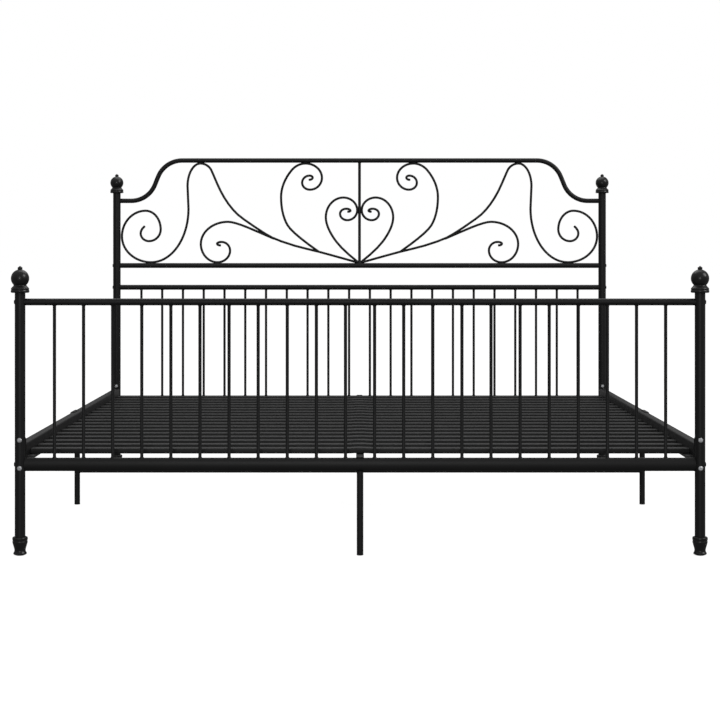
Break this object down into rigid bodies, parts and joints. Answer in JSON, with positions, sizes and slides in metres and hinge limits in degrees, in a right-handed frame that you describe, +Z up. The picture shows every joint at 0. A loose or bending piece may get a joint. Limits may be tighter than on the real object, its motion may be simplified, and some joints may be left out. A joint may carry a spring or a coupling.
{
  "type": "bed frame",
  "caption": "Black tubular steel double bed frame with a barred footboard, a scrolled arched headboard, side rails and metal slats, for a square mattress.",
  "frame": {"origin": "On the floor, at the centre of the bed in plan.", "axes": "+X to the right of a person lying on their back, seen from the foot end; +Y from the foot to the head; +Z up."},
  "size_m": [2.116, 2.116, 1.315],
  "materials": {
    "black_paint": "satin black powder coat on steel",
    "black_plastic": "moulded black plastic",
    "zinc_steel": "satin zinc plate",
    "black_screw": "black coated steel screw"
  },
  "bodies": {
    "root": {"centre_beam_foot": "black_paint", "centre_beam_head": "black_paint", "centre_leg_foot": "black_paint", "centre_leg_head": "black_paint", "finial_foot_left": "black_plastic", "finial_foot_right": "black_plastic", "finial_head_left": "black_plastic", "finial_head_right": "black_plastic", "foot_cap_foot_left": "black_plastic", "foot_cap_foot_right": "black_plastic", "foot_cap_head_left": "black_plastic", "foot_cap_head_right": "black_plastic", "footboard_bar_panel": "black_paint", "headboard_bar_panel": "black_paint", "headboard_scroll_panel": "black_paint", "mid_leg_frame": "black_paint", "panel_bolt_foot_left_1": "black_screw", "panel_bolt_foot_left_2": "black_screw", "panel_bolt_foot_right_1": "black_screw", "panel_bolt_foot_right_2": "black_screw", "panel_bolt_head_left_1": "black_screw", "panel_bolt_head_left_2": "black_screw", "panel_bolt_head_right_1": "black_screw", "panel_bolt_head_right_2": "black_screw", "post_foot_left": "black_paint", "post_foot_right": "black_paint", "post_head_left": "black_paint", "post_head_right": "black_paint", "rail_bolt_foot_left_1": "zinc_steel", "rail_bolt_foot_left_2": "zinc_steel", "rail_bolt_foot_right_1": "zinc_steel", "rail_bolt_foot_right_2": "zinc_steel", "rail_bolt_head_left_1": "zinc_steel", "rail_bolt_head_left_2": "zinc_steel", "rail_bolt_head_right_1": "zinc_steel", "rail_bolt_head_right_2": "zinc_steel", "rail_connector_left": "black_paint", "rail_connector_right": "black_paint", "side_rail_foot_left": "black_paint", "side_rail_foot_right": "black_paint", "side_rail_head_left": "black_paint", "side_rail_head_right": "black_paint", "slat_01": "black_paint", "slat_02": "black_paint", "slat_03": "black_paint", "slat_04": "black_paint", "slat_05": "black_paint", "slat_06": "black_paint", "slat_07": "black_paint", "slat_08": "black_paint", "slat_09": "black_paint", "slat_10": "black_paint", "slat_11": "black_paint", "slat_12": "black_paint", "slat_13": "black_paint", "slat_14": "black_paint", "slat_15": "black_paint", "slat_16": "black_paint", "slat_17": "black_paint", "slat_18": "black_paint"}
  },
  "joints": []
}
